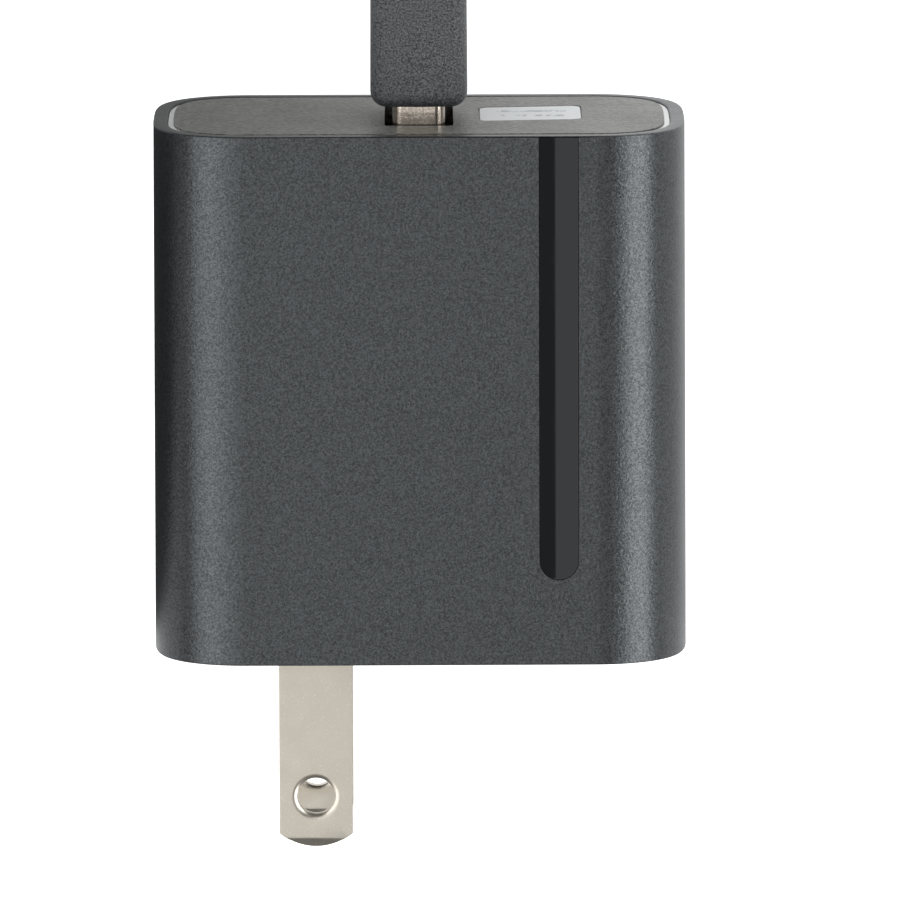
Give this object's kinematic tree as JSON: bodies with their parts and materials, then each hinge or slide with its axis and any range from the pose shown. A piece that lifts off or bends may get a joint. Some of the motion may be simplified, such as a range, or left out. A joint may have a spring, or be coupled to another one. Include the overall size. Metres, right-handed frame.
{
  "type": "usb wall charger",
  "caption": "Flat rounded-box USB wall charger lying on its back, with folding blades, a gloss accent strip, and a plugged-in USB cable wound in a tied coil.",
  "frame": {"origin": "on the surface that the charger lies on, under the middle of the charger with its blades out", "axes": "+X to the charger's right seen from its front, +Y out of the USB port, +Z out of the front face"},
  "size_m": [0.0695, 0.1672, 0.0262],
  "materials": {
    "graphite_shell": "dark graphite paint with fine metallic flake, satin",
    "port_cap": "fine-grained dark grey plastic with a pale satin ledge round it",
    "gloss_black": "piano-black gloss",
    "label": null,
    "blade_nickel": "nickel-plated brass, fine satin",
    "plug_nickel": "nickel-plated steel",
    "black_nylon": "black moulded nylon",
    "spring_brass": "rolled spring brass",
    "board": "green solder mask",
    "film": "insulating film",
    "ferrite": "dark grey ferrite",
    "white_nylon": "white moulded nylon",
    "winding_tape": "yellow polyester tape over copper",
    "capacitor_sleeve": "printed shrink sleeve",
    "epoxy": "moulded epoxy",
    "blue_epoxy": "dipped epoxy",
    "gold_contact": "gold-plated contact",
    "cord_jacket": "soft black jacket and overmould, coarse fine-sparkle grain",
    "tie_strap": "black woven hook-and-loop strap"
  },
  "bodies": {
    "charger": {"housing_sleeve": "graphite_shell", "port_cap": "port_cap", "accent_strip": "gloss_black", "serial_label": "label", "prong_cradle": "black_nylon", "neutral_contact_spring": "spring_brass", "line_contact_spring": "spring_brass", "detent_spring": "spring_brass", "main_board": "board", "insulation_sheet": "film", "transformer_core_left": "ferrite", "transformer_core_right": "ferrite", "transformer_bobbin": "white_nylon", "transformer_winding": "winding_tape", "bulk_capacitor_1": "capacitor_sleeve", "bulk_capacitor_2": "capacitor_sleeve", "output_capacitor_1": "capacitor_sleeve", "output_capacitor_2": "capacitor_sleeve", "line_choke": "ferrite", "bridge_rectifier": "epoxy", "controller_chip": "epoxy", "optocoupler": "epoxy", "output_rectifier": "epoxy", "fuse": "white_nylon", "safety_capacitor": "blue_epoxy", "usb_socket_shell": "plug_nickel", "usb_socket_tongue": "black_nylon", "usb_socket_contact_1": "gold_contact", "usb_socket_contact_2": "gold_contact", "usb_socket_contact_3": "gold_contact", "usb_socket_contact_4": "gold_contact"},
    "prongs": {"front_blade": "blade_nickel", "rear_blade": "blade_nickel", "prong_barrel": "black_nylon"},
    "cable": {"plug_overmold": "cord_jacket", "plug_shell": "plug_nickel", "plug_insulator": "white_nylon", "plug_contact_1": "gold_contact", "plug_contact_2": "gold_contact", "plug_contact_3": "gold_contact", "plug_contact_4": "gold_contact", "strain_relief": "cord_jacket", "cord_lead": "cord_jacket", "cord_coil": "cord_jacket", "coil_tie": "tie_strap", "cord_tail": "cord_jacket", "device_strain_relief": "cord_jacket", "device_plug_overmold": "cord_jacket", "device_plug_shell": "plug_nickel"}
  },
  "joints": [
    {"name": "prong_fold", "type": "hinge", "parent": "charger", "child": "prongs", "pos_m": [-0.0091, -0.011, 0.0131], "axis": [0, 0, 1], "range_deg": [0, 90]},
    {"name": "plug_pull", "type": "slide", "parent": "charger", "child": "cable", "axis": [0, 1, 0], "range_m": [0, 0.016]}
  ]
}
